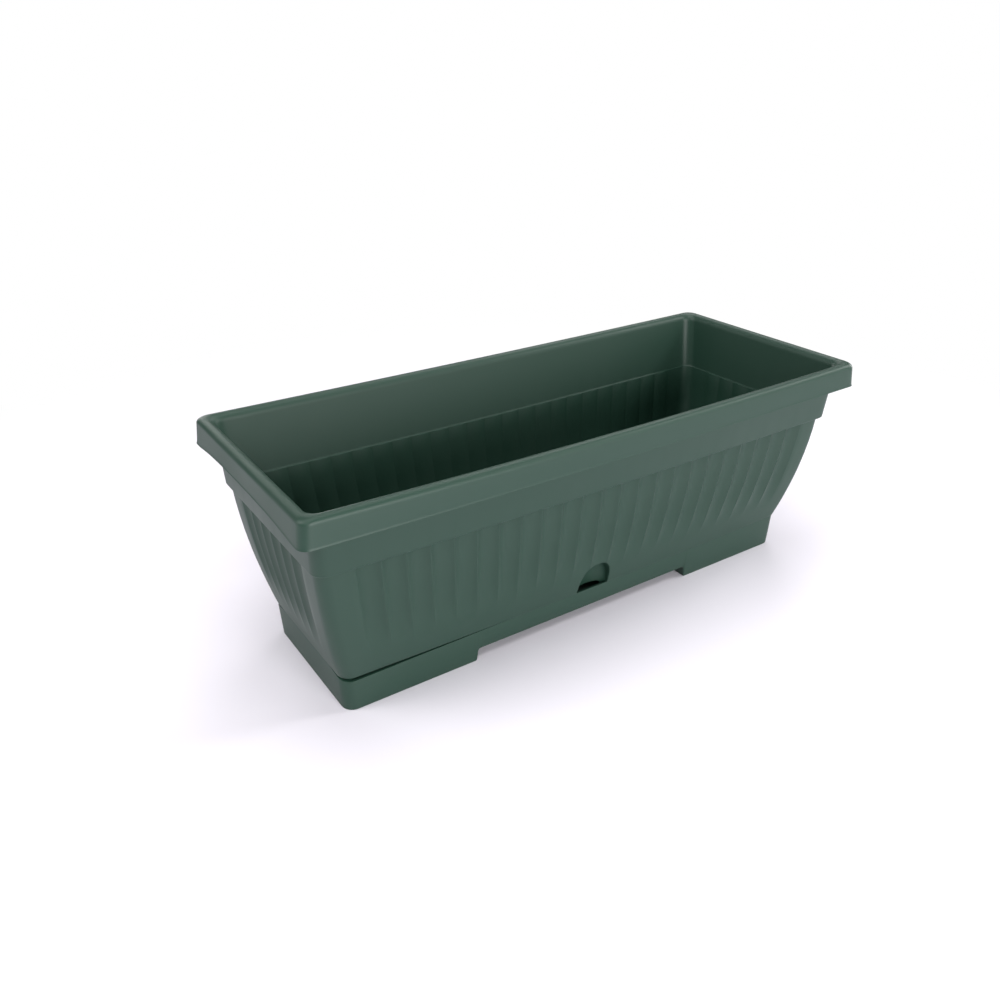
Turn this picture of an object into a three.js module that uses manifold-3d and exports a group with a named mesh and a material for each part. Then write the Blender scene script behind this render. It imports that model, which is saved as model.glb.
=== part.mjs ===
// Rectangular planter: a fluted trough that stands in a shallow saucer, both moulded in dark green
// polypropylene.
//
// Millimetres, +Z up. The origin is on the ground under the middle of the planter, +X runs along its
// length, and the watering window in the foot of the front wall faces -Y.

import * as THREE from 'three';
import { mergeVertices } from 'three/addons/utils/BufferGeometryUtils.js';
import Module from 'manifold-3d';

const wasm = await Module();
wasm.setup();

// Driving dimensions

// overall
const planterLength = 504; // over the skirt's lower edge
const planterWidth = 201; // the same, at its corners
const planterHeight = 180; // from the ground to the top of the rim at its corners

// rim: a rolled lip with a skirt hanging from its outer edge
const rimCornerRadius = 9;
const lipOuterRadius = 4;
const lipFlat = 0.8; // level strip on top, between the two roundings
const lipInnerRadius = 5.7;
const skirtDrop = 19.6; // from the top of the rim to the skirt's lower edge
const skirtArch = 4.2; // the skirt is this much shorter in the middle of the end walls
const skirtThickness = 2.6;
const skirtFlareEnd = 2; // how far the skirt leans out towards its lower edge on the end walls
const skirtFlareSide = 1; // and on the long walls
const channelRoof = 5; // material over the channel between skirt and wall

// plain band under the rim
const bandInsetEnd = 9.6; // from the rim's side to the band at the skirt's lower edge, on the end walls
const bandInsetSide = 10.4; // and on the long walls
const bandDrop = 30.4; // from the skirt's lower edge to the band's
const bandCornerRadius = 10;
const bandDraftEnd = 1; // how far the band leans in on the end walls
const bandDraftSide = 3.1; // and on the long walls
const bandStep = 3.5; // the fluted body stands back from the band by this
const ledgeRise = 2.2; // from the band's lower edge to the ledge inside it
const ledgeFillet = 3; // rounding from the ledge to the wall above it
const innerCornerRadius = 9;

// fluted body
const troughWall = 2.8;
const bodyCornerRadius = 9.5;
const bodyBelly = 3; // how far the wall stands proud of a straight line at half its height
const flutePitch = 18.37; // between two ridges, under the band
const fluteDepth = 2.6;
const cornerLand = 22; // least plain wall beside the flutes at each corner
const fluteRunOut = 16; // height over the body's foot where the flutes begin
const fluteFade = 34; // height over which they gain their full depth

// foot of the trough: the middles of its long walls rest on the saucer's rim
const wallSag = 1.8; // the long walls hang this much lower in the middle than at their ends
const seatGap = 0.3; // between the foot and the saucer's rim, where it rests
const footOverhang = 0.3; // the foot stands this far outside the rim
const floorDrop = 0.6; // from the body's foot to the floor's underside
const spigotDepth = 5; // the rib under the floor that keeps the trough in the saucer
const spigotWall = 2.4;
const spigotClearance = 0.8;

// drain slots in the trough's floor, in two rows
const slotLength = 14;
const slotWidth = 3;
const slotSpacing = 36;
const slotRowSpacing = 60;
const slotMargin = 30; // least plain floor past the last slot

// watering window and the recess behind it
const windowWidth = 31;
const windowHeight = 25.5; // over the body's foot
const windowFullness = 2.4; // 2 is a plain ellipse, more is squarer
const recessDepth = 9;
const recessWall = 2.5;

// saucer
const saucerLength = 439.4; // over its upper edge
const saucerWidth = 127.2;
const saucerHeight = 28;
const saucerWall = 2.4;
const saucerCornerRadius = 9.2;
const saucerDraft = 1.2; // how far its walls lean in towards the ground
const saucerArch = 10.7; // clear height under the middle
const saucerFootLength = 109; // each end that reaches the ground
const saucerFootDraft = 1.5;

// bow of the long walls as they leave the mould: their middles stand this much further out
const rimBow = 1.8; // at the lip
const saucerBow = 1.2; // at the saucer's upper edge and the trough's foot

// fineness
const cornerSteps = 5;
const longSteps = 8;
const shortSteps = 6;
const fluteSteps = 3;
const roundSteps = 4;
const archSteps = 12;
const recessTip = 0.95; // share of the quarter turn where the recess ends flat

// Sizes that follow from the driving ones

const rimHalfX = planterLength / 2 - skirtFlareEnd;
const rimHalfY = planterWidth / 2 - skirtFlareSide;
const lipWidth = lipOuterRadius + lipFlat + lipInnerRadius;
const skirtBottom = planterHeight - skirtDrop;
const bandBottom = skirtBottom - bandDrop;
const lipFoot = planterHeight - lipInnerRadius;
const channelTop = planterHeight - channelRoof;

const bandTopHalfX = rimHalfX - bandInsetEnd;
const bandTopHalfY = rimHalfY - bandInsetSide;
const bandHalfX = bandTopHalfX - bandDraftEnd;
const bandHalfY = bandTopHalfY - bandDraftSide;

const bodyTopHalfX = bandHalfX - bandStep;
const bodyTopHalfY = bandHalfY - bandStep;
const bodyFoot = saucerHeight + seatGap + wallSag;
const bodyFootHalfX = saucerLength / 2 + footOverhang;
const bodyFootHalfY = saucerWidth / 2 + footOverhang;
const fluteEnd = bodyFoot + fluteRunOut;

const floorBottom = bodyFoot - floorDrop;
const floorTop = floorBottom + troughWall;
const ledgeTop = bandBottom + ledgeRise;
const spigotBottom = floorBottom - spigotDepth;
const saucerLean = (saucerDraft * (saucerHeight - spigotBottom)) / saucerHeight;
const spigotHalfX = saucerLength / 2 - saucerWall - saucerLean - spigotClearance;
const spigotHalfY = saucerWidth / 2 - saucerWall - saucerLean - spigotClearance;
const spigotRadius = saucerCornerRadius - saucerWall;

const wellFloor = saucerWall;
const archFloor = saucerArch + saucerWall;
const archHalfX = saucerLength / 2 - saucerDraft - saucerFootLength;

// Small helpers: closed bodies from rings of points, and booleans on them

const over = 1; // how far a cutter runs past the face it cuts

function toSolid(geometry) {
  const bare = geometry.clone();
  bare.deleteAttribute('normal');
  bare.deleteAttribute('uv');
  const merged = mergeVertices(bare, 1e-4);
  return new wasm.Manifold(new wasm.Mesh({
    numProp: 3,
    vertProperties: new Float32Array(merged.attributes.position.array),
    triVerts: new Uint32Array(merged.index.array),
  }));
}

function toGeometry(solid) {
  const mesh = solid.getMesh();
  const geometry = new THREE.BufferGeometry();
  geometry.setAttribute('position', new THREE.BufferAttribute(new Float32Array(mesh.vertProperties), 3));
  geometry.setIndex(new THREE.BufferAttribute(new Uint32Array(mesh.triVerts), 1));
  return geometry;
}

// A closed body through rings of points, lowest ring first, each ring anticlockwise from above.
function loft(rings) {
  const count = rings[0].length;
  const positions = rings.flat(2);
  const indices = [];
  for (let row = 0; row < rings.length - 1; row++) {
    for (let i = 0; i < count; i++) {
      const a = row * count + i;
      const b = row * count + ((i + 1) % count);
      indices.push(a, b, b + count, a, b + count, a + count);
    }
  }
  const capCentre = (ring) => ring.reduce((sum, p) => sum.map((v, k) => v + p[k] / count), [0, 0, 0]);
  const bottom = positions.length / 3;
  positions.push(...capCentre(rings[0]), ...capCentre(rings[rings.length - 1]));
  const top = bottom + 1;
  const lastRow = (rings.length - 1) * count;
  for (let i = 0; i < count; i++) {
    const next = (i + 1) % count;
    indices.push(bottom, next, i);
    indices.push(top, lastRow + i, lastRow + next);
  }
  const geometry = new THREE.BufferGeometry();
  geometry.setAttribute('position', new THREE.Float32BufferAttribute(positions, 3));
  geometry.setIndex(indices);
  return toSolid(geometry);
}

function block(sizeX, sizeY, sizeZ, x, y, z) {
  return toSolid(new THREE.BoxGeometry(sizeX, sizeY, sizeZ).translate(x, y, z));
}

const union = (solids) => solids.reduce((sum, solid) => sum.add(solid));
const mix = (from, to, share) => from + (to - from) * share;

// Offsets along and into one straight side, as pairs [share of the side's run from -1 to 1, depth].
function plainSide(steps) {
  return Array.from({ length: steps - 1 }, (_, i) => [-1 + (2 * (i + 1)) / steps, 0]);
}

// A rounded rectangle at one height. sideX and sideY list what happens along the long and the short
// sides between the corner arcs, and runX and runY are the half lengths that their shares refer to.
function ring(halfX, halfY, radius, z, side = {}) {
  const { sideX = plainSide(longSteps), sideY = plainSide(shortSteps) } = side;
  const { runX = halfX - radius, runY = halfY - radius } = side;
  const points = [];
  const corner = (centreX, centreY, startAngle) => {
    for (let i = 0; i <= cornerSteps; i++) {
      const angle = startAngle + (Math.PI / 2) * (i / cornerSteps);
      points.push([centreX + radius * Math.cos(angle), centreY + radius * Math.sin(angle), z]);
    }
  };
  const backwards = (list) => [...list].reverse();
  sideX.forEach(([share, depth]) => points.push([share * runX, -halfY + depth, z]));
  corner(halfX - radius, -(halfY - radius), -Math.PI / 2);
  sideY.forEach(([share, depth]) => points.push([halfX - depth, share * runY, z]));
  corner(halfX - radius, halfY - radius, 0);
  backwards(sideX).forEach(([share, depth]) => points.push([share * runX, halfY - depth, z]));
  corner(-(halfX - radius), halfY - radius, Math.PI / 2);
  backwards(sideY).forEach(([share, depth]) => points.push([-halfX + depth, share * runY, z]));
  corner(-(halfX - radius), -(halfY - radius), Math.PI);
  return points;
}

// Trough

// Share of the way from the body's foot to the band, and the wall's outline there.
const bodyShare = (z) => (z - bodyFoot) / (bandBottom - bodyFoot);
const bellied = (foot, top, share) => mix(foot, top, share) + 4 * bodyBelly * share * (1 - share);
const bodyHalfX = (z) => bellied(bodyFootHalfX, bodyTopHalfX, bodyShare(z));
const bodyHalfY = (z) => bellied(bodyFootHalfY, bodyTopHalfY, bodyShare(z));

// The flutes are hollow scallops that meet in sharp ridges. They fan in with the body towards its
// foot and fade away above it.
const fluteCount = (halfLength) => Math.floor((2 * (halfLength - cornerLand)) / flutePitch);
const fluteDepthAt = (z) => fluteDepth * THREE.MathUtils.smoothstep(z, fluteEnd, fluteEnd + fluteFade);
function flutedSide(halfLength, depth) {
  const count = fluteCount(halfLength);
  const points = [];
  for (let i = 0; i <= count * fluteSteps; i++) {
    const across = (i % fluteSteps) / fluteSteps;
    points.push([(2 * i) / (count * fluteSteps) - 1, 4 * depth * across * (1 - across)]);
  }
  return points;
}
function flutedRing(halfX, halfY, radius, z, inset = 0) {
  const depth = fluteDepthAt(z);
  return ring(halfX - inset, halfY - inset, radius - inset, z, {
    sideX: flutedSide(bodyTopHalfX, depth),
    sideY: flutedSide(bodyTopHalfY, depth),
    runX: ((fluteCount(bodyTopHalfX) * flutePitch) / 2) * (halfX / bodyTopHalfX),
    runY: ((fluteCount(bodyTopHalfY) * flutePitch) / 2) * (halfY / bodyTopHalfY),
  });
}
const bodyHeights = [0, 0.16, 0.27, 0.385, 0.5, 0.73, 1].map((share) => mix(bodyFoot, bandBottom, share));

function bodyOutside() {
  const rings = bodyHeights.map((z) => flutedRing(bodyHalfX(z), bodyHalfY(z), bodyCornerRadius, z));
  const top = bandBottom + over;
  rings.push(flutedRing(bodyTopHalfX, bodyTopHalfY, bodyCornerRadius, top));
  return loft(rings);
}

function bodyInside() {
  const floor = ring(spigotHalfX - troughWall, spigotHalfY - troughWall, spigotRadius, floorTop, {
    sideX: flutedSide(bodyTopHalfX, 0),
    sideY: flutedSide(bodyTopHalfY, 0),
  });
  const rings = bodyHeights.slice(1).map(
    (z) => flutedRing(bodyHalfX(z), bodyHalfY(z), bodyCornerRadius, z, troughWall));
  const top = ledgeTop + over;
  rings.push(flutedRing(bodyTopHalfX, bodyTopHalfY, bodyCornerRadius, top, troughWall));
  return loft([floor, ...rings]);
}

// The band's outside, from its lower edge up to the skirt's.
function bandRing(z) {
  const share = (z - bandBottom) / (skirtBottom - bandBottom);
  const halfX = mix(bandHalfX, bandTopHalfX, share);
  const halfY = mix(bandHalfY, bandTopHalfY, share);
  return ring(halfX, halfY, bandCornerRadius, z);
}

function rimRing(inset, z) {
  const radius = mix(rimCornerRadius, innerCornerRadius, inset / lipWidth);
  return ring(rimHalfX - inset, rimHalfY - inset, radius, z);
}

// Behind the skirt the wall's outside runs out from the band to the lip.
const neckRing = (z) => rimRing(lipWidth - troughWall, z);

function skirtRing(inset, z) {
  const share = (planterHeight - lipOuterRadius - z) / (planterHeight - lipOuterRadius - skirtBottom);
  const halfX = rimHalfX + skirtFlareEnd * share - inset;
  const halfY = rimHalfY + skirtFlareSide * share - inset;
  return ring(halfX, halfY, rimCornerRadius - inset, z);
}

function quarterTurn(steps) {
  return Array.from({ length: steps + 1 }, (_, i) => (Math.PI / 2) * (i / steps));
}

function rimOutside() {
  const rounding = quarterTurn(roundSteps).map((angle) => rimRing(
    lipOuterRadius * (1 - Math.cos(angle)),
    planterHeight - lipOuterRadius * (1 - Math.sin(angle))));
  // The skirt's lower edge rises in an arch across the end walls.
  const edge = skirtRing(0, skirtBottom).map(
    ([x, y, z]) => [x, y, z + skirtArch * Math.max(1 - Math.abs(y / bandHalfY) ** 3, 0)]);
  return loft([edge, ...rounding]);
}

function rimInside() {
  const rounding = quarterTurn(roundSteps).map((angle) => rimRing(
    lipWidth - lipInnerRadius * (1 - Math.cos(angle)),
    planterHeight - lipInnerRadius * (1 - Math.sin(angle))));
  const mouth = rimRing(lipWidth - lipInnerRadius, planterHeight + over);
  const ledge = quarterTurn(roundSteps).map((angle) => {
    const inset = ledgeFillet * (1 - Math.sin(angle));
    const z = ledgeTop + ledgeFillet * (1 - Math.cos(angle));
    const halfX = bandHalfX - troughWall - inset;
    return ring(halfX, bandHalfY - troughWall - inset, innerCornerRadius - inset, z);
  });
  return loft([...ledge, ...rounding, mouth]);
}

// The space between the skirt and the band, open to below.
function skirtChannel() {
  const outside = loft([
    skirtRing(skirtThickness, skirtBottom - over),
    skirtRing(skirtThickness, channelTop),
  ]);
  return outside.subtract(loft([
    bandRing(skirtBottom - 2 * over),
    bandRing(skirtBottom),
    neckRing(channelTop),
    neckRing(channelTop + over),
  ]));
}

// The window's outline is an upright arch. Past the wall it closes in like half a dome, which makes
// the recess. It is open downwards, so water poured into it reaches the saucer.
function archedRecess(growth, bottom) {
  const halfWidth = windowWidth / 2 + growth;
  const height = windowHeight + growth;
  const depth = recessDepth + growth;
  const mouth = -bodyFootHalfY;
  const section = (y, scale) => {
    const points = [];
    for (let i = 0; i <= archSteps; i++) {
      const angle = (Math.PI * i) / archSteps;
      const across = Math.abs(Math.cos(angle)) ** (2 / windowFullness) * Math.sign(Math.cos(angle));
      const up = Math.sin(angle) ** (2 / windowFullness);
      points.push([halfWidth * across * scale, y, bodyFoot - wallSag + height * up * scale]);
    }
    points.push([-halfWidth * scale, y, bottom], [halfWidth * scale, y, bottom]);
    return points;
  };
  const dome = quarterTurn(roundSteps).slice(0, -1).map(
    (angle) => section(mouth + depth * Math.sin(angle), Math.cos(angle)));
  const tip = section(mouth + depth, Math.cos((Math.PI / 2) * recessTip));
  return loft([section(-rimHalfY, 1), ...dome, tip].map((points) => points.reverse()));
}

function drainSlots() {
  const solids = [];
  const z = (floorBottom + floorTop) / 2;
  const reach = spigotHalfX - troughWall - slotMargin - slotLength / 2;
  const gaps = Math.floor((2 * reach) / slotSpacing);
  for (const y of [-slotRowSpacing / 2, slotRowSpacing / 2]) {
    for (let i = 0; i <= gaps; i++) {
      const x = (i - gaps / 2) * slotSpacing;
      solids.push(block(slotLength, slotWidth, troughWall + 2 * over, x, y, z));
    }
  }
  return union(solids);
}

function spigot() {
  const run = (inset, z) => ring(spigotHalfX - inset, spigotHalfY - inset, spigotRadius, z);
  const outside = loft([run(0, spigotBottom), run(0, bodyFoot + over)]);
  const inside = loft([run(spigotWall, spigotBottom - over), run(spigotWall, floorBottom)]);
  return outside.subtract(inside);
}

function trough() {
  const band = loft([bandRing(bandBottom), bandRing(skirtBottom), neckRing(channelTop)]);
  const outside = union([bodyOutside(), band, rimOutside()]);
  const hood = archedRecess(recessWall, floorBottom);
  const inside = bodyInside().add(rimInside()).subtract(hood);
  return outside
    .subtract(skirtChannel())
    .add(spigot())
    .subtract(inside)
    .subtract(drainSlots())
    .subtract(archedRecess(0, spigotBottom - over));
}

// Saucer

function saucerRing(inset, z) {
  const lean = saucerDraft * (1 - z / saucerHeight);
  const halfX = saucerLength / 2 - lean - inset;
  const halfY = saucerWidth / 2 - lean - inset;
  return ring(halfX, halfY, saucerCornerRadius - inset, z);
}

// A block across the saucer's middle, with the sloping ends that its two feet have.
function middleBlock(halfX, bottom, top) {
  const slope = saucerFootDraft / saucerArch;
  const signs = [[-1, -1], [1, -1], [1, 1], [-1, 1]];
  const corners = (z) => {
    const reach = halfX - slope * z;
    return signs.map(([signX, signY]) => [signX * reach, signY * planterWidth, z]);
  };
  return loft([corners(bottom), corners(top)]);
}

function saucer() {
  const outside = loft([saucerRing(0, 0), saucerRing(0, saucerHeight)]);
  const inside = loft([saucerRing(saucerWall, wellFloor), saucerRing(saucerWall, saucerHeight + over)]);
  const raisedFloor = middleBlock(archHalfX + saucerWall, 0, archFloor);
  return outside
    .subtract(inside.subtract(raisedFloor))
    .subtract(middleBlock(archHalfX, -over, saucerArch));
}

// Both pieces leave the mould with their long walls slightly bowed outwards, most at the lip and at
// the saucer's rim, and the trough's long walls also sag.
function bowAt(z) {
  const { clamp } = THREE.MathUtils;
  const saucerShare = clamp(z / saucerHeight, 0, 1) * clamp(1 - bodyShare(z), 0, 1);
  const rimShare = clamp((z - skirtBottom) / (planterHeight - lipOuterRadius - skirtBottom), 0, 1);
  return (saucerBow * saucerShare) / bodyFootHalfY + (rimBow * rimShare) / rimHalfY;
}

function settle(geometry, sag) {
  const position = geometry.attributes.position;
  for (let i = 0; i < position.count; i++) {
    const [x, y, z] = [position.getX(i), position.getY(i), position.getZ(i)];
    const middle = Math.max(1 - (x / bandHalfX) ** 2, 0);
    const hang = THREE.MathUtils.clamp((z - spigotBottom) / (bodyFoot - spigotBottom), 0, 1);
    position.setY(i, y * (1 + bowAt(z) * middle));
    position.setZ(i, z - sag * middle * hang);
  }
  return geometry;
}

// Assembly

const greenPlastic = { color: 0x52645c, roughness: 0.55, metalness: 0 };

function moulding(name, solid, sag) {
  const mesh = new THREE.Mesh(settle(toGeometry(solid), sag), new THREE.MeshStandardMaterial(greenPlastic));
  mesh.name = name;
  return mesh;
}

const planter = new THREE.Group();
planter.add(moulding('saucer', saucer(), 0));
planter.add(moulding('trough', trough(), wallSag));

export default planter;
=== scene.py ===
"""A fluted plastic trough planter in its saucer, on a pale studio floor.

The script builds the two mouldings as fine meshes on the frame's bodies, gives them the finish of
moulded polypropylene, and sets up the camera, the floor and the soft lights. Lengths are metres.
"""
import math

import bpy
import numpy as np
from mathutils import Matrix, Vector


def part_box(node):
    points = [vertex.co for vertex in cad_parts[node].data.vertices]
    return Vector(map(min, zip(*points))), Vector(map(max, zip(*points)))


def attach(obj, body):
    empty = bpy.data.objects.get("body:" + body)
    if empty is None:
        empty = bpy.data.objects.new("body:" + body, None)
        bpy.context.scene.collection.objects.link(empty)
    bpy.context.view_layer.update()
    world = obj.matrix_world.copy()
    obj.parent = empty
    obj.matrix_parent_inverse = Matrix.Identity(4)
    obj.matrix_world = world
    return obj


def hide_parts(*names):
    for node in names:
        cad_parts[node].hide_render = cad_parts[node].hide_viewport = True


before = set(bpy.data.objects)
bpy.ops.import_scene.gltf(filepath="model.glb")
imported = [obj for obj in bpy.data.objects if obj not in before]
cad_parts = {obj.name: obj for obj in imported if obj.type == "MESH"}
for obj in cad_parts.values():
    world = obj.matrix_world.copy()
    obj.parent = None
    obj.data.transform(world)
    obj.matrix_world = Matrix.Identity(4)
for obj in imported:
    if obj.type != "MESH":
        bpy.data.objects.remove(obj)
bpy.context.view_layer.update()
TROUGH_LOW, TROUGH_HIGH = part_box("trough")
SAUCER_LOW, SAUCER_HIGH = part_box("saucer")

bl_info = {
    "name": "Fluted trough planter",
    "version": (1, 0, 0),
    "blender": (4, 5, 0),
    "location": "View3D > Sidebar > Planter",
    "description": "Builds a fluted plastic trough planter, its saucer and a small studio",
    "category": "Add Mesh",
}

MM = 0.001


# Settings

def length(name, description, default):
    """A length property, in metres."""
    return bpy.props.FloatProperty(
        name=name, description=description, default=default, unit="LENGTH", precision=5)


def factor(name, description, default, least=0):
    """A property without a unit."""
    return bpy.props.FloatProperty(name=name, description=description, default=default, min=least)


def count(name, description, default):
    """A number of like things, at least one."""
    return bpy.props.IntProperty(name=name, description=description, default=default, min=1)


def to_linear(code):
    """Linear colour with alpha from an sRGB hex value such as '8090a0'."""
    parts = [int(code[i:i + 2], 16) / 255 for i in (0, 2, 4)]
    return [c / 12.92 if c <= 0.04045 else ((c + 0.055) / 1.055) ** 2.4 for c in parts] + [1.0]


def colour(name, description, code):
    """A colour property, from an sRGB hex value."""
    return bpy.props.FloatVectorProperty(
        name=name, description=description, subtype="COLOR", size=4, min=0, max=1,
        default=to_linear(code))


class PLANTER_PG_trough(bpy.types.PropertyGroup):
    """Sizes of the trough"""
    skirt_length: length(
        "Skirt length", "Over the skirt's lower edge", (TROUGH_HIGH - TROUGH_LOW).x)
    skirt_width: length("Skirt width", "The same, at its corners", 201 * MM)
    height: length("Height", "From the ground to the rim's corners", TROUGH_HIGH.z)
    rim_corner: length("Rim corner", "Radius of the rim's corners, seen from above", 8 * MM)
    lip_width: length("Lip width", "From the skirt to the inside, across the top", 10.5 * MM)
    lip_outer: length("Outer lip radius", "Rounding from the skirt to the top", 4 * MM)
    lip_inner: length("Inner lip radius", "Rounding from the top to the inside", 5.7 * MM)
    skirt_drop: length("Skirt drop", "From the top to the skirt's lower edge", 19.6 * MM)
    skirt_bead: length("Skirt bead", "The skirt's lower edge stands out by this", 0.3 * MM)
    skirt_arch: length("Skirt arch", "The ends' skirt is this much shorter in the middle", 4.2 * MM)
    skirt_wall: length("Skirt wall", "Thickness of the skirt", 2.6 * MM)
    flare_end: length("Skirt flare, ends", "How far the skirt leans out on the end walls", 2 * MM)
    flare_side: length("Skirt flare, sides", "How far it leans out on the long walls", 1 * MM)
    band_drop: length("Band drop", "From the skirt's lower edge to the band's", 30.4 * MM)
    band_inset_end: length("Band inset, ends", "From the rim's side to the top of the band", 9.6 * MM)
    band_inset_side: length("Band inset, sides", "The same on the long walls", 10.4 * MM)
    band_draft_end: length("Band draft, ends", "How far the band leans in on the end walls", 1.0 * MM)
    band_draft_side: length("Band draft, sides", "How far it leans in on the long walls", 3.1 * MM)
    step_end: length("Band step, ends", "The body stands back from the band's ends by this", 2.6 * MM)
    step_side: length("Band step, sides", "The same on the long walls", 3.5 * MM)
    wall: length("Wall", "Thickness of the walls and the floor", 2.8 * MM)
    foot_z: length("Foot height", "Height of the body's lower edge at the corners", 30.1 * MM)
    foot_length: length("Foot length", "Length of the body at its lower edge", 440 * MM)
    foot_width: length("Foot width", "Width of the body at its lower edge", 127.8 * MM)
    corner: length("Body corner", "Radius of the body's corners", 9.5 * MM)
    inner_corner: length("Inner corner", "The same inside", 9 * MM)
    belly: factor("Belly", "Fullness of the walls between foot and band", 0.65)
    ledge_rise: length("Ledge rise", "From the band's lower edge to the ledge inside it", 1.4 * MM)
    ledge_width: length("Ledge width", "Width of that ledge between two flutes", 0.9 * MM)
    ledge_fillet: length("Ledge fillet", "Rounding from the ledge to the wall above it", 1.5 * MM)
    flute_pitch: length("Flute pitch", "Between two ridges, under the band", 18.37 * MM)
    flute_depth: length("Flute depth", "Depth of the scallops", 3.1 * MM)
    flute_end: length("Flute end", "Height where the flutes have faded away", 45 * MM)
    flute_full: length("Flute full", "Height from which they have their full depth", 80 * MM)
    flute_inside: factor("Flutes inside", "Share of their depth that shows inside", 0.3)
    flutes_long: count("Flutes, long walls", "Number of flutes on a long wall", 23)
    flutes_end: count("Flutes, end walls", "Number of flutes on an end wall", 6)
    sag: length("Sag", "The long walls hang this much lower in the middle", 1.8 * MM)
    lip_bow: length("Lip bow", "The lip's long sides stand out this much more in the middle", 1.8 * MM)
    foot_bow: length("Foot bow", "The same at the body's foot", 1.2 * MM)
    window_width: length("Window width", "Width of the watering window", 31 * MM)
    window_height: length("Window height", "Height of the watering window", 25.5 * MM)
    window_fullness: factor("Window fullness", "2 is a plain ellipse, more is squarer", 2.6, least=1)
    recess_depth: length("Recess depth", "Depth of the scoop behind the window", 9.1 * MM)


class PLANTER_PG_saucer(bpy.types.PropertyGroup):
    """Sizes of the saucer"""
    top_length: length("Length", "Over the upper edge", (SAUCER_HIGH - SAUCER_LOW).x)
    top_width: length("Width", "Over the upper edge at its corners", 127.2 * MM)
    height: length("Height", "From the ground to the upper edge", SAUCER_HIGH.z)
    seam: length("Seam", "Gap between the upper edge and the trough", 0.08 * MM)
    seam_left: length("Seam, left", "The same at the left corners, where the saucer hangs", 3.8 * MM)
    wall: length("Wall", "Thickness of the walls and the floor", 2.4 * MM)
    corner: length("Corner", "Radius of the corners", 9.2 * MM)
    draft: length("Draft", "How far the walls lean in towards the ground", 1.2 * MM)
    bow: length("Bow", "The long walls stand out this much more in the middle", 1.2 * MM)
    arch: length("Arch", "Clear height under the raised middle", 10.7 * MM)
    foot_left: length("Left foot", "Length of the left end that reaches the ground", 109 * MM)
    foot_right: length("Right foot", "Length of the right end that reaches the ground", 111.4 * MM)
    foot_draft: length("Foot draft", "How far a foot's inner face leans back", 1.5 * MM)
    foot_fillet: length("Foot fillet", "Rounding where a foot meets the raised middle", 2.5 * MM)


class PLANTER_PG_finish(bpy.types.PropertyGroup):
    """Colours and gloss"""
    plastic: colour("Plastic", "Colour of the moulded polypropylene", "19372b")
    roughness: bpy.props.FloatProperty(
        name="Roughness", description="Roughness of the moulded surface", default=0.5, min=0, max=1)
    floor: colour("Floor", "Colour of the studio floor", "ebe7ef")


# Mesh tools

ACROSS, UP = 1, 3  # places in a row of its half width and its height
NEARLY_HALF = 0.49
SHARP_FROM = 50  # degrees; a blunter edge than this is shaded smooth


def row(half_x, half_y, radius, z, relief=0.0, shift=0.0):
    """One level of a moulding: the half sizes and corner radius of its outline, its height, how much
    of the outline's relief it has, and how far it is drawn out along its length."""
    return np.array([half_x, half_y, radius, z, relief, shift])


def rounded(path, steps=4):
    """Rows of a profile from (row, cut) pairs. A corner with a cut is drawn as a curve that starts
    that far before it and ends that far after it, at most nearly half way to the next corner."""
    rows = []
    for i, (point, cut) in enumerate(path):
        if not cut:
            rows.append(point)
            continue
        ends = []
        for other, _ in (path[i - 1], path[i + 1]):
            way = other - point
            ends.append(point + way * min(cut / np.hypot(way[ACROSS], way[UP]), NEARLY_HALF))
        for t in np.linspace(0, 1, steps + 1):
            rows.append((1 - t) ** 2 * ends[0] + 2 * t * (1 - t) * point + t * t * ends[1])
    return rows


def quarter_turn(steps, make):
    """Rows along a quarter turn, from make(cosine, sine)."""
    return [make(math.cos(a), math.sin(a)) for a in np.linspace(0, math.pi / 2, steps + 1)]


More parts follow.
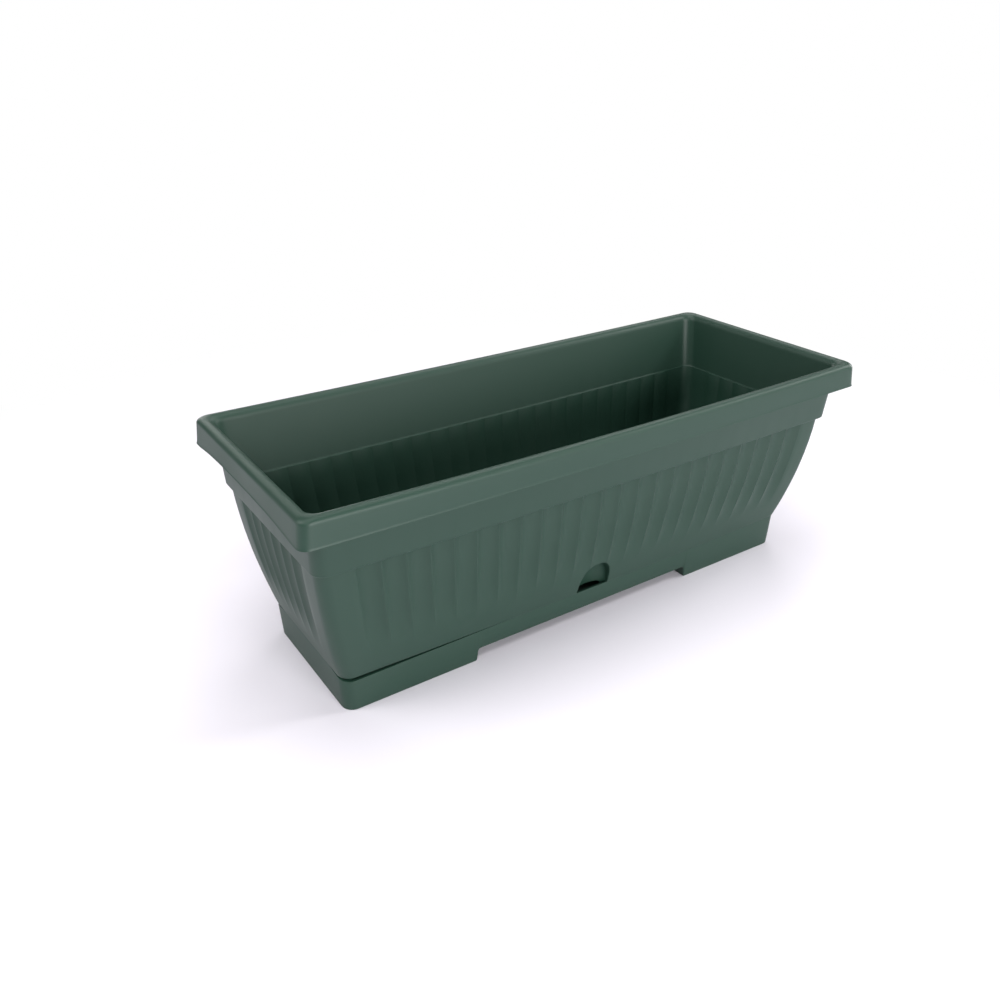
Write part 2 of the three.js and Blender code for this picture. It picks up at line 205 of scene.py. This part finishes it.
class Outline:
    """A rounded rectangle's points, the same number in every row. A side is four lists: shares of the
    straight run up to its corners, shares of the run that the relief covers, the relief, and how far
    each point is drawn out. The relief goes inwards, or upwards where asked."""

    def __init__(self, long_side, short_side, upward=False, corner_steps=8):
        self.sides = [np.array(side, float) for side in (long_side, short_side)]
        self.turn = np.linspace(0, math.pi / 2, corner_steps + 1)
        self.upward = upward

    def ring(self, level, runs=(0, 0)):
        """The points of one row, anticlockwise from the front left corner."""
        half = level[:2]
        radius, z, relief, shift = level[2:]
        inward, rise = (0, relief) if self.upward else (relief, 0)
        straight = half - radius
        pieces = []
        for quarter in range(4):
            axis = quarter % 2
            reach, covered, depth, drawn = self.sides[axis]
            sign = 1 if quarter < 2 else -1
            along = sign * (reach * straight[axis] + covered * runs[axis] + drawn * shift)
            edge = sign * (half[1 - axis] - depth * inward)
            flat = (along, -edge) if axis == 0 else (edge, along)
            pieces.append(np.column_stack([*flat, z + depth * rise]))
            angle = self.turn + (quarter - 1) * math.pi / 2
            centre = straight * [(1, -1), (1, 1), (-1, 1), (-1, -1)][quarter]
            pieces.append(np.column_stack([
                centre[0] + radius * np.cos(angle), centre[1] + radius * np.sin(angle),
                np.full(len(angle), z)]))
        return np.concatenate(pieces)

    def cap(self, points, start, facing_up):
        """Fills the ring that starts there with a grid of faces, laid from its front edge to its back
        edge. Returns all points and the new faces."""
        turn = len(self.turn)
        wide, short = (side.shape[1] for side in self.sides)
        size = 2 * (wide + short) + 4 * turn
        ring = start + np.arange(size)
        front = np.concatenate([ring[-turn:], ring[:wide + turn]])
        back_from = wide + turn + short
        back = ring[back_from:back_from + wide + 2 * turn][::-1]
        left = ring[-turn - short:-turn][::-1]
        right = ring[wide + turn:back_from]
        grid = np.zeros((len(front), short + 2), int)
        grid[:, 0], grid[:, -1] = front, back
        grid[0, 1:-1], grid[-1, 1:-1] = left, right
        spread = points[left, 1]
        ends = points[[front[0], back[0]], 1]
        way = ((spread - ends[0]) / (ends[1] - ends[0]))[:, None]
        fresh = []
        for column in range(1, len(front) - 1):
            grid[column, 1:-1] = len(points) + len(fresh) + np.arange(short)
            near, far = points[front[column]], points[back[column]]
            fresh.extend(near + (far - near) * way)
        faces = []
        for i in range(len(front) - 1):
            for k in range(short + 1):
                face = [grid[i, k], grid[i + 1, k], grid[i + 1, k + 1], grid[i, k + 1]]
                faces.append(tuple(int(v) for v in (face if facing_up else face[::-1])))
        return np.concatenate([points, fresh]), faces


def ring_faces(rings, size):
    """Faces between rings of points that follow each other."""
    faces = []
    for low in range(0, (rings - 1) * size, size):
        high = low + size
        for i in range(size):
            after = (i + 1) % size
            faces.append((low + i, low + after, high + after, high + i))
    return faces


def loft_faces(rings, size, first=0):
    """Faces of a closed loft: between its rings, and one flat face on each end."""
    faces = ring_faces(rings, size)
    faces.append(tuple(range(size))[::-1])
    faces.append(tuple(range((rings - 1) * size, rings * size)))
    return [tuple(first + i for i in face) for face in faces]


def new_mesh(name, points, faces):
    """A mesh object in the scene."""
    mesh = bpy.data.meshes.new(name)
    mesh.from_pydata([tuple(point) for point in points], [], faces)
    obj = bpy.data.objects.new(name, mesh)
    bpy.context.scene.collection.objects.link(obj)
    return obj


def closed_loft(name, rings):
    """A closed mesh through rings of points, which turn anticlockwise as seen from the last ring."""
    return new_mesh(name, np.concatenate(rings), loft_faces(len(rings), len(rings[0])))


def boolean(target, cutter, operation):
    """Cuts or joins one closed mesh with another, which is then removed."""
    modifier = target.modifiers.new(operation, "BOOLEAN")
    modifier.operation = operation
    modifier.solver = "EXACT"
    modifier.object = cutter
    graph = bpy.context.evaluated_depsgraph_get()
    result = bpy.data.meshes.new_from_object(target.evaluated_get(graph))
    target.modifiers.clear()
    before, used = target.data, cutter.data
    target.data = result
    bpy.data.objects.remove(cutter)
    bpy.data.meshes.remove(before)
    bpy.data.meshes.remove(used)


def dress(obj, body, material):
    """Smooth shading, the material, and the body and node that the piece stands for."""
    obj.data.polygons.foreach_set("use_smooth", np.ones(len(obj.data.polygons), bool))
    obj.data.set_sharp_from_angle(angle=math.radians(SHARP_FROM))
    obj.data.materials.clear()
    obj.data.materials.append(material)
    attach(obj, body)
    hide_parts(body)


# Materials

def add_node(tree, kind, inputs=None, **settings):
    """Adds a node. An input is a value, or the output that it is linked from."""
    node = tree.nodes.new(kind)
    for name, value in settings.items():
        setattr(node, name, value)
    for name, value in (inputs or {}).items():
        if isinstance(value, bpy.types.NodeSocket):
            tree.links.new(value, node.inputs[name])
        else:
            node.inputs[name].default_value = value
    return node


def new_material(name):
    """The material of that name, new or made empty again, and its node tree."""
    material = bpy.data.materials.get(name) or bpy.data.materials.new(name)
    material.use_nodes = True
    material.node_tree.nodes.clear()
    return material, material.node_tree


def polypropylene(finish):
    """Dark green polypropylene, injection moulded in a finely blasted mould: a deep, slightly milky
    colour under a soft sheen, with a faint grain that breaks up the highlights."""
    material, tree = new_material("polypropylene_moulded_dark_green")
    spot = add_node(tree, "ShaderNodeTexCoord").outputs["Object"]
    # The mould's grain is too fine to show, so it is drawn ten times as coarse.
    grain_width, coarser = 0.11 * MM, 10
    grain = add_node(tree, "ShaderNodeTexNoise", {
        "Vector": spot, "Scale": 1 / (coarser * grain_width), "Detail": 3.0})
    # Slow waves of the gloss, a few centimetres long, where the plastic cooled unevenly.
    wave_length, gloss_change = 60 * MM, 0.03
    waves = add_node(tree, "ShaderNodeTexNoise", {
        "Vector": spot, "Scale": 1 / wave_length, "Detail": 1.0})
    gloss = add_node(tree, "ShaderNodeMapRange", {
        "Value": waves.outputs["Fac"], "From Min": 0.3, "From Max": 0.7,
        "To Min": finish.roughness - gloss_change, "To Max": finish.roughness + gloss_change})
    bump = add_node(tree, "ShaderNodeBump", {
        "Height": grain.outputs["Fac"], "Strength": 0.25, "Distance": 0.05 * MM})
    shader = add_node(tree, "ShaderNodeBsdfPrincipled", {
        "Base Color": list(finish.plastic), "Roughness": gloss.outputs["Result"],
        "IOR": 1.49, "Normal": bump.outputs["Normal"]})
    add_node(tree, "ShaderNodeOutputMaterial", {"Surface": shader.outputs["BSDF"]})
    return material


# Trough

# Points across half a flute, from its ridge on, as shares of the pitch. The tip of a ridge lies about
# half as deep as the first points beside it, which rounds it off.
RIDGE = 0.018
HALF_FLUTE = [0, RIDGE, 0.06, 0.14, 0.26, 0.42]
LAND = np.array([0.33, 0.67])  # points across the plain land beside the flutes, as shares of it

# Heights of the body's rows, closest where the flutes fade away.
BODY_ROWS = [z * MM for z in (33, 38, 43, 46, 49, 52, 56, 60, 65, 70, 76, 84, 94, 106, 118)]
LIP_STEPS = 8

# Smaller sizes, which the settings leave alone.
RIM_HOLLOW = 5 * MM  # from the top to the rim's underside
FLOOR_DROP = 0.6 * MM  # from the body's lower edge to the floor's underside
RIB_DROP, RIB_INSET, RIB_WALL = 5 * MM, 3.7 * MM, 2.4 * MM
WINDOW_EDGE = 0.8 * MM  # rounding where the window meets the wall
RECESS_WALL = 2.5 * MM
SLOTS, SLOT_LENGTH, SLOT_WIDTH = 10, 14 * MM, 3 * MM
SLOT_PITCH, SLOT_ROW = 36 * MM, 30 * MM  # along a row, and from the middle to each of the two rows


def flute_points(flutes):
    """Points across a row of flutes, as shares of their run from -1 to 1, and their depth there."""
    spots = HALF_FLUTE + [1 - spot for spot in HALF_FLUTE[:0:-1]]
    across = [2 * (flute + spot) / flutes - 1 for flute in range(flutes) for spot in spots] + [1]
    tip = 2 * RIDGE
    scallop = [tip] + [4 * spot * (1 - spot) for spot in spots[1:]]
    return across, scallop * flutes + [tip]


def fluted_side(flutes):
    """A side with flutes between two plain lands."""
    across, depth = flute_points(flutes)
    reach = [*-LAND[::-1], *np.zeros(len(across)), *LAND]
    covered = [*(LAND[::-1] - 1), *across, *(1 - LAND)]
    plain = np.zeros(len(LAND))
    return [reach, covered, [*plain, *depth, *plain], np.zeros(len(reach))]


class TroughShape:
    """Heights of the trough's parts, and a row of each of its surfaces at any height. An inset is
    measured inwards from the outside."""

    def __init__(self, sizes):
        self.sizes = sizes
        self.lip_z = sizes.height - sizes.lip_outer
        self.skirt_z = sizes.height - sizes.skirt_drop
        self.band_z = self.skirt_z - sizes.band_drop
        self.floor_z = sizes.foot_z - FLOOR_DROP
        self.floor_top_z = self.floor_z + sizes.wall
        self.rib_z = self.floor_z - RIB_DROP
        self.window_z = sizes.foot_z - sizes.sag
        self.flare = np.array([sizes.flare_end, sizes.flare_side])
        self.rim_half = np.array([sizes.skirt_length, sizes.skirt_width]) / 2 - self.flare
        self.band_top = self.rim_half - [sizes.band_inset_end, sizes.band_inset_side]
        self.band_low = self.band_top - [sizes.band_draft_end, sizes.band_draft_side]
        self.body_top = self.band_low - [sizes.step_end, sizes.step_side]
        self.body_foot = np.array([sizes.foot_length, sizes.foot_width]) / 2

    def body(self, z, inset=0.0):
        """The fluted wall. With an inset it is the wall's inside."""
        sizes = self.sizes
        way = (z - sizes.foot_z) / (self.band_z - sizes.foot_z)
        way += sizes.belly * way * (1 - way)
        half = self.body_foot + (self.body_top - self.body_foot) * way - inset
        fade = np.clip((z - sizes.flute_end) / (sizes.flute_full - sizes.flute_end), 0, 1)
        depth = sizes.flute_depth * (sizes.flute_inside if inset else 1)
        radius = sizes.inner_corner if inset else sizes.corner
        return row(*half, radius, z, depth * fade * fade * (3 - 2 * fade))

    def band(self, z):
        """The plain band between the skirt and the flutes."""
        way = (z - self.band_z) / (self.skirt_z - self.band_z)
        half = self.band_low + (self.band_top - self.band_low) * way
        return row(*half, self.sizes.corner, z)

    def rim(self, z, inset):
        """The rim, whose corners turn from the outer radius to the inner one across the lip."""
        sizes = self.sizes
        way = inset / sizes.lip_width
        radius = sizes.rim_corner + (sizes.inner_corner - sizes.rim_corner) * way
        return row(*(self.rim_half - inset), radius, z)

    def skirt(self, z, inset):
        """The skirt that hangs from the rim and leans out."""
        way = (self.lip_z - z) / (self.lip_z - self.skirt_z)
        return row(*(self.rim_half + self.flare * way - inset), self.sizes.rim_corner - inset, z)

    def rib(self, z, inset):
        """The rib under the floor that keeps the trough in its saucer."""
        half = self.body_foot - RIB_INSET - inset
        return row(*half, self.sizes.corner - RIB_INSET, z)

    def runs(self, level):
        """Half lengths of the fluted stretches, which fan in with the body."""
        flutes = np.array([self.sizes.flutes_long, self.sizes.flutes_end])
        return flutes * self.sizes.flute_pitch / 2 * level[:2] / self.body_top

    def settle(self, points):
        """The moulding's sag and bow: its long walls hang and lean outwards in the middle. The lower
        edge of the skirt also rises in an arch over each end wall."""
        sizes = self.sizes
        x, y, z = points.T
        middle = np.clip(1 - (x / self.band_low[0]) ** 2, 0, 1)
        hang = np.clip((z - self.rib_z) / (sizes.foot_z - self.rib_z), 0, 1)
        up_body = np.clip((z - sizes.foot_z) / (self.band_z - sizes.foot_z), 0, 1)
        up_skirt = np.clip((z - self.skirt_z) / (self.lip_z - self.skirt_z), 0, 1)
        foot_out = sizes.foot_bow * (1 - up_body) / self.body_foot[1]
        lip_out = sizes.lip_bow * up_skirt / self.rim_half[1]
        past_band = 5 * MM
        on_end = abs(x) > self.band_top[0] + past_band
        arch = np.clip(1 - abs(y / self.band_low[1]) ** 3, 0, 1) * on_end * (1 - up_skirt)
        return np.column_stack([
            x, y * (1 + (foot_out + lip_out) * middle),
            z - sizes.sag * middle * hang + sizes.skirt_arch * arch])

    def front(self, x, z):
        """Where the front wall's outside lies near its middle, below the flutes."""
        height = max(z + self.sizes.sag, self.sizes.foot_z)
        return self.settle(np.array([[x, -self.body(height)[ACROSS], height]]))[0][1]


def trough_rows(shape):
    """The trough's profile: from the floor's underside out, up, over the rim, and down inside. A pair
    is a row and how far its rounding reaches to each side."""
    sizes = shape.sizes
    flat_run = 2 * MM
    bead_z, plain_z = shape.skirt_z + 1.2 * MM, shape.skirt_z + 4 * MM
    hollow_z = sizes.height - RIM_HOLLOW
    outside = [
        (shape.rib(shape.floor_z, RIB_WALL + flat_run), 0),
        (shape.rib(shape.floor_z, RIB_WALL), 0.6 * MM),
        (shape.rib(shape.rib_z, RIB_WALL), 0.5 * MM),
        (shape.rib(shape.rib_z, 0), 0.5 * MM),
        (shape.rib(sizes.foot_z, 0), 0.4 * MM),
        (shape.body(sizes.foot_z), 0.2 * MM),
        *[(shape.body(z), 0) for z in BODY_ROWS],
        (shape.body(shape.band_z), 0.9 * MM),
        (shape.band(shape.band_z), 1.3 * MM),
        (shape.band(shape.skirt_z), 0),
        (shape.rim(hollow_z, sizes.lip_width - sizes.wall), 1.5 * MM),
        (shape.skirt(hollow_z, sizes.skirt_wall), 1.5 * MM),
        (shape.skirt(shape.skirt_z, sizes.skirt_wall), 0.6 * MM),
        (shape.skirt(shape.skirt_z, 0), 0.15 * MM),
        (shape.skirt(bead_z, sizes.skirt_bead), 0.5 * MM),
        (shape.skirt(plain_z, sizes.skirt_bead), 0),
        (shape.rim(shape.lip_z, 0), 0),
    ]
    outer_lip = quarter_turn(LIP_STEPS, lambda across, up: shape.rim(
        sizes.height - sizes.lip_outer * (1 - up), sizes.lip_outer * (1 - across)))
    inner_lip = quarter_turn(LIP_STEPS, lambda up, across: shape.rim(
        sizes.height - sizes.lip_inner * (1 - up),
        sizes.lip_width - sizes.lip_inner * (1 - across)))
    ledge_z = shape.band_z + sizes.ledge_rise
    ledge_half = shape.body_top - sizes.wall + sizes.ledge_width
    lowest_inside = shape.floor_top_z + 6 * MM
    inside = [
        (shape.rim(sizes.height - sizes.lip_inner, sizes.lip_width), 0),
        (row(*ledge_half, sizes.inner_corner, ledge_z), sizes.ledge_fillet),
        (shape.body(ledge_z, sizes.wall), 0.2 * MM),
        *[(shape.body(z, sizes.wall), 0) for z in reversed(BODY_ROWS) if z > lowest_inside],
        (shape.rib(shape.floor_top_z, sizes.wall), 3 * MM),
        (shape.rib(shape.floor_top_z, sizes.wall + 3 * flat_run), 0),
    ]
    return rounded(outside) + outer_lip[1:] + inner_lip + rounded(inside)[1:]


def window_outline(shape, growth, bottom):
    """The window's outline as (x, z) points from its right foot over to its left one."""
    sizes = shape.sizes
    half, tall = sizes.window_width / 2 + growth, sizes.window_height + growth
    power = 2 / sizes.window_fullness
    halfway = (shape.window_z + bottom) / 2
    arch_steps = 48
    points = [(half, bottom), (half, halfway)]
    for angle in np.linspace(0, math.pi, arch_steps + 1):
        across, up = math.cos(angle), max(math.sin(angle), 0)
        x = half * abs(across) ** power * np.sign(across)
        points.append((x, shape.window_z + tall * up ** power))
    points += [(-half, halfway), (-half, bottom)]
    return np.array(points)


def recess(shape, growth, edge, bottom):
    """A closed body of the watering window and the scoop behind it, grown by a wall where asked.
    edge is the rounding where it meets the front wall."""
    before, past_edge = 8 * MM, 0.1 * MM
    edge_steps = 5 if edge else 0
    scoop_steps = 14

    def along_wall(outline, inward):
        return np.array([(x, shape.front(x, z) + inward, z) for x, z in outline])

    rings = [along_wall(window_outline(shape, growth + edge, bottom), -before)]
    for angle in np.linspace(0, math.pi / 2, edge_steps + 1):
        outline = window_outline(shape, growth + edge * (1 - math.sin(angle)), bottom)
        rings.append(along_wall(outline, edge * (1 - math.cos(angle))))
    x, z = window_outline(shape, growth, bottom).T
    start = shape.front(0, shape.window_z) + edge + past_edge
    depth = shape.sizes.recess_depth - edge + growth
    rise = np.clip(z - shape.window_z, 0, None)
    for angle in np.linspace(0, math.pi / 2, scoop_steps + 1)[:-1]:
        scale = math.cos(angle)
        y = np.full(len(x), start + depth * math.sin(angle))
        rings.append(np.column_stack([x * scale, y, z - rise * (1 - scale)]))
    return closed_loft("recess", [ring[::-1] for ring in rings])


def drain_slots(shape):
    """The bodies of the slots to cut through the trough's floor, in two rows."""
    turn = np.linspace(-math.pi / 2, math.pi / 2, 9)
    end = np.stack([np.cos(turn), np.sin(turn)], 1) * SLOT_WIDTH / 2
    reach = np.array([(SLOT_LENGTH - SLOT_WIDTH) / 2, 0])
    outline = np.concatenate([end + reach, -end - reach])
    over_floor = 4 * MM
    places = (np.arange(SLOTS) - (SLOTS - 1) / 2) * SLOT_PITCH
    points, faces = [], []
    for y in (-SLOT_ROW, SLOT_ROW):
        for x in places:
            faces += loft_faces(2, len(outline), first=len(points))
            for z in (shape.rib_z, shape.floor_top_z + over_floor):
                points += [(x + side, y + depth, z) for side, depth in outline]
    return new_mesh("slots", points, faces)


def build_trough(sizes):
    """The trough as one closed mesh: the loft, the recess's wall, then the openings."""
    shape = TroughShape(sizes)
    outline = Outline(fluted_side(sizes.flutes_long), fluted_side(sizes.flutes_end))
    rings = [shape.settle(outline.ring(level, shape.runs(level))) for level in trough_rows(shape)]
    trough = closed_loft("trough_moulding", rings)
    in_floor, under_rib = shape.floor_z + 1 * MM, shape.rib_z - 5 * MM
    boolean(trough, recess(shape, RECESS_WALL, 0, in_floor), "UNION")
    boolean(trough, recess(shape, 0, WINDOW_EDGE, under_rib), "DIFFERENCE")
    boolean(trough, drain_slots(shape), "DIFFERENCE")
    return trough


# Saucer

HANG_START = 0.27  # the share of the left half from which its edge starts to hang


def foot_step(sizes, foot):
    """Half of the saucer's floor, from its middle to its end: the raised middle, then a foot of that
    length. Three lists: x, the lift there, and how far it is drawn out inside the saucer, as a share
    of the wall."""
    half = sizes.top_length / 2
    inner_face = half - sizes.draft - foot
    middle_steps, end_steps = 8, 7
    corners = [
        (row(0, 0, 0, sizes.arch), 0),
        (row(0, inner_face - sizes.foot_draft, 0, sizes.arch), sizes.foot_fillet),
        (row(0, inner_face, 0, 0), 1.0 * MM),
        (row(0, half, 0, 0), 0),
    ]
    step_x, step_lift = np.array(rounded(corners, steps=6))[1:-1, [ACROSS, UP]].T
    middle_x = np.linspace(0, step_x[0], middle_steps + 1)[:-1]
    end_x = np.linspace(step_x[-1], half - sizes.corner, end_steps + 1)[1:-1]
    lift = [*np.full(middle_steps, sizes.arch), *step_lift, *np.zeros(len(end_x))]
    drawn = [*np.linspace(0, 1, middle_steps + 1)[:-1], *np.ones(len(step_x)),
             *np.linspace(1, 0, len(end_x))]
    return np.array([[*middle_x, *step_x, *end_x], lift, drawn])


def build_saucer(sizes, trough_sizes):
    """The saucer as one closed mesh. Its floor follows the feet, and its edge the trough's foot."""
    trough = TroughShape(trough_sizes)
    half = np.array([sizes.top_length, sizes.top_width]) / 2

    def level(z, inset, inside=0):
        up = z / sizes.height
        lean = sizes.draft * (1 - up)
        shift = sizes.wall * inside
        return row(*(half - lean - inset), sizes.corner - inset, z, relief=1 - up, shift=shift)

    under_run, well_run = 4 * MM, 5 * MM
    rows = rounded([
        (level(0, under_run), 0),
        (level(0, 0), 1.0 * MM),
        (level(sizes.height / 2, 0), 0),
        (level(sizes.height, 0), 0.2 * MM),
        (level(sizes.height, sizes.wall, 1), 0.8 * MM),
        (level(sizes.height / 2, sizes.wall, 1), 0),
        (level(sizes.wall, sizes.wall, 1), 2.5 * MM),
        (level(sizes.wall, sizes.wall + well_run, 1), 0),
    ])
    # The floor's step lies further out inside the saucer than under it, by the wall. The left half
    # is a right one mirrored, so its x and what it is drawn out by change their sign.
    left = foot_step(sizes, sizes.foot_left)[:, :0:-1] * [[-1], [1], [-1]]
    x, lift, drawn = np.hstack([left, foot_step(sizes, sizes.foot_right)])
    end_steps = 12
    reach = np.linspace(-1, 1, end_steps + 1)[1:-1]
    plain = np.zeros(len(reach))
    outline = Outline([0 * x, x, lift, drawn], [reach, plain, plain, plain], upward=True)
    rings = [outline.ring(level_row, runs=(1, 0)) for level_row in rows]
    size, last = len(rings[0]), len(rings) - 1
    points, faces = np.concatenate(rings), ring_faces(len(rings), size)
    for first, facing_up in ((0, False), (last * size, True)):
        points, cap = outline.cap(points, first, facing_up)
        faces += cap
    middle = np.clip(1 - (points[:, 0] / half[0]) ** 2, 0, 1)
    points[:, 1] *= 1 + sizes.bow * points[:, 2] / sizes.height * middle / half[1]
    # The upper edge follows the trough's foot, but hangs at the left corners.
    x, y, z = points.T
    trough_foot = np.column_stack([x, 0 * y, np.full(len(x), trough_sizes.foot_z)])
    edge = trough.settle(trough_foot)[:, 2]
    leftward = np.clip((-x / half[0] - HANG_START) / (1 - HANG_START), 0, 1)
    hang = leftward ** 1.5 * np.clip(y / half[1], -1, 1) ** 4
    drop = edge - sizes.seam - sizes.seam_left * hang - sizes.height
    points[:, 2] += drop * (z / sizes.height) ** 3
    return new_mesh("saucer_moulding", points, faces)


# Studio

FLOOR_REACH = 6.0
WHITE_FROM, WHITE_FULL = 0.4, 0.8  # the floor turns white for the eye between these distances
LIGHT_AIM, LIGHT_DISTANCE = Vector((0, 0, 0.09)), 2.2
SENSOR_WIDTH = 36  # mm


def studio_floor(finish):
    """Pale matt paper. Far from the planter it turns plain white for the eye."""
    material, tree = new_material("paper_matt_pale")
    spot = add_node(tree, "ShaderNodeTexCoord").outputs["Object"]
    distance = add_node(tree, "ShaderNodeVectorMath", {0: spot}, operation="LENGTH").outputs["Value"]
    far = add_node(tree, "ShaderNodeMapRange", {
        "Value": distance, "From Min": WHITE_FROM, "From Max": WHITE_FULL},
        interpolation_type="SMOOTHSTEP")
    eye = add_node(tree, "ShaderNodeLightPath").outputs["Is Camera Ray"]
    seen = add_node(tree, "ShaderNodeMath", {0: far.outputs["Result"], 1: eye}, operation="MULTIPLY")
    paper = add_node(tree, "ShaderNodeBsdfPrincipled", {
        "Base Color": list(finish.floor), "Roughness": 0.9, "Specular IOR Level": 0.1})
    white = add_node(tree, "ShaderNodeEmission", {"Color": (1, 1, 1, 1), "Strength": 1.0})
    mix = add_node(tree, "ShaderNodeMixShader", {
        0: seen.outputs["Value"], 1: paper.outputs["BSDF"], 2: white.outputs["Emission"]})
    add_node(tree, "ShaderNodeOutputMaterial", {"Surface": mix.outputs["Shader"]})
    return material


def studio_world():
    """A dark room round the lights. Only the eye and clear materials see plain white in it."""
    world = bpy.data.worlds.new("studio")
    bpy.context.scene.world = world
    world.use_nodes = True
    tree = world.node_tree
    tree.nodes.clear()
    path = add_node(tree, "ShaderNodeLightPath").outputs
    seen = add_node(tree, "ShaderNodeMath", {
        0: path["Is Camera Ray"], 1: path["Is Transmission Ray"]}, operation="MAXIMUM")
    white = add_node(tree, "ShaderNodeBackground", {
        "Color": (1, 1, 1, 1), "Strength": seen.outputs["Value"]})
    add_node(tree, "ShaderNodeOutputWorld", {"Surface": white.outputs["Background"]})


def add_softbox(name, azimuth, elevation, size, watts):
    """A square soft light aimed at the planter. The azimuth turns from +X towards +Y, in degrees."""
    around, up = math.radians(azimuth), math.radians(elevation)
    way = Vector((math.cos(around) * math.cos(up), math.sin(around) * math.cos(up), math.sin(up)))
    light = bpy.data.lights.new(name, "AREA")
    light.size = size
    light.energy = watts
    obj = bpy.data.objects.new(name, light)
    obj.location = LIGHT_AIM + way * LIGHT_DISTANCE
    obj.rotation_euler = way.to_track_quat("Z", "Y").to_euler()
    obj.visible_camera = False
    bpy.context.scene.collection.objects.link(obj)


def add_camera(location, yaw, pitch, roll, lens, shift):
    """A camera turned from +Y towards +X by yaw, looking down by pitch and tipped by roll, all in
    degrees. The lens is in millimetres, and the shift in widths of the picture."""
    yaw, pitch, roll = (math.radians(angle) for angle in (yaw, pitch, roll))
    camera = bpy.data.cameras.new("camera")
    camera.lens = lens
    camera.sensor_width = SENSOR_WIDTH
    camera.shift_x, camera.shift_y = shift
    obj = bpy.data.objects.new("camera", camera)
    forward = Vector((
        math.sin(yaw) * math.cos(pitch), math.cos(yaw) * math.cos(pitch), -math.sin(pitch)))
    level = Vector((math.cos(yaw), -math.sin(yaw), 0))
    right = math.cos(roll) * level + math.sin(roll) * level.cross(forward)
    axes = Matrix([right, right.cross(forward), -forward]).transposed()
    obj.matrix_world = Matrix.Translation(location) @ axes.to_4x4()
    bpy.context.scene.collection.objects.link(obj)
    bpy.context.scene.camera = obj


def build_stage(finish):
    """The floor, the white surroundings, ten soft lights all round, and the camera."""
    side = FLOOR_REACH
    corners = [(-side, -side, 0), (side, -side, 0), (side, side, 0), (-side, side, 0)]
    floor = new_mesh("floor", corners, [(0, 1, 2, 3)])
    floor.data.materials.append(studio_floor(finish))
    studio_world()
    add_softbox("softbox_key", 335, 38, size=0.5, watts=14)
    add_softbox("softbox_right", 0, 13, size=1.0, watts=18)
    add_softbox("softbox_right_front", 310, 13, size=1.0, watts=6)
    add_softbox("softbox_front", 268, 13, size=1.0, watts=44)
    add_softbox("softbox_back", 90, 13, size=1.0, watts=13)
    add_softbox("softbox_right_back", 45, 43, size=1.2, watts=14)
    add_softbox("softbox_left", 172, 43, size=1.2, watts=23)
    add_softbox("softbox_left_low", 160, 13, size=1.0, watts=8)
    add_softbox("softbox_left_front", 225, 43, size=1.2, watts=8)
    add_softbox("softbox_top", 0, 90, size=1.2, watts=19)
    add_camera(
        (-408.02 * MM, -543.21 * MM, 429.78 * MM), yaw=33.72, pitch=27.26, roll=-0.25, lens=32.80,
        shift=(-0.0005, 0.0005))
    bpy.context.scene.view_settings.view_transform = "Standard"


# Operators and panel

class PLANTER_OT_saucer(bpy.types.Operator):
    """Build the saucer"""
    bl_idname = "planter.build_saucer"
    bl_label = "Saucer"

    def execute(self, context):
        saucer = build_saucer(context.scene.planter_saucer, context.scene.planter_trough)
        dress(saucer, "saucer", polypropylene(context.scene.planter_finish))
        return {"FINISHED"}


class PLANTER_OT_trough(bpy.types.Operator):
    """Build the fluted trough"""
    bl_idname = "planter.build_trough"
    bl_label = "Trough"

    def execute(self, context):
        trough = build_trough(context.scene.planter_trough)
        dress(trough, "trough", polypropylene(context.scene.planter_finish))
        return {"FINISHED"}


class PLANTER_OT_stage(bpy.types.Operator):
    """Build the camera, the floor and the lights"""
    bl_idname = "planter.build_stage"
    bl_label = "Stage"

    def execute(self, context):
        build_stage(context.scene.planter_finish)
        return {"FINISHED"}


class PLANTER_PT_panel(bpy.types.Panel):
    """The settings, with a button for each piece and one for the stage"""
    bl_label = "Planter"
    bl_idname = "PLANTER_PT_panel"
    bl_space_type = "VIEW_3D"
    bl_region_type = "UI"
    bl_category = "Planter"

    def draw(self, context):
        scene = context.scene
        for group, operator in ((scene.planter_saucer, PLANTER_OT_saucer),
                                (scene.planter_trough, PLANTER_OT_trough),
                                (scene.planter_finish, PLANTER_OT_stage)):
            box = self.layout.box()
            for name in group.__annotations__:
                box.prop(group, name)
            box.operator(operator.bl_idname)


CLASSES = (PLANTER_PG_trough, PLANTER_PG_saucer, PLANTER_PG_finish,
           PLANTER_OT_saucer, PLANTER_OT_trough, PLANTER_OT_stage, PLANTER_PT_panel)
SETTINGS = {"planter_trough": PLANTER_PG_trough, "planter_saucer": PLANTER_PG_saucer,
            "planter_finish": PLANTER_PG_finish}


def register():
    for cls in CLASSES:
        bpy.utils.register_class(cls)
    for name, group in SETTINGS.items():
        setattr(bpy.types.Scene, name, bpy.props.PointerProperty(type=group))


def unregister():
    for name in SETTINGS:
        delattr(bpy.types.Scene, name)
    for cls in reversed(CLASSES):
        bpy.utils.unregister_class(cls)


def main():
    register()
    bpy.ops.planter.build_saucer()
    bpy.ops.planter.build_trough()
    bpy.ops.planter.build_stage()


if __name__ == "__main__":
    main()
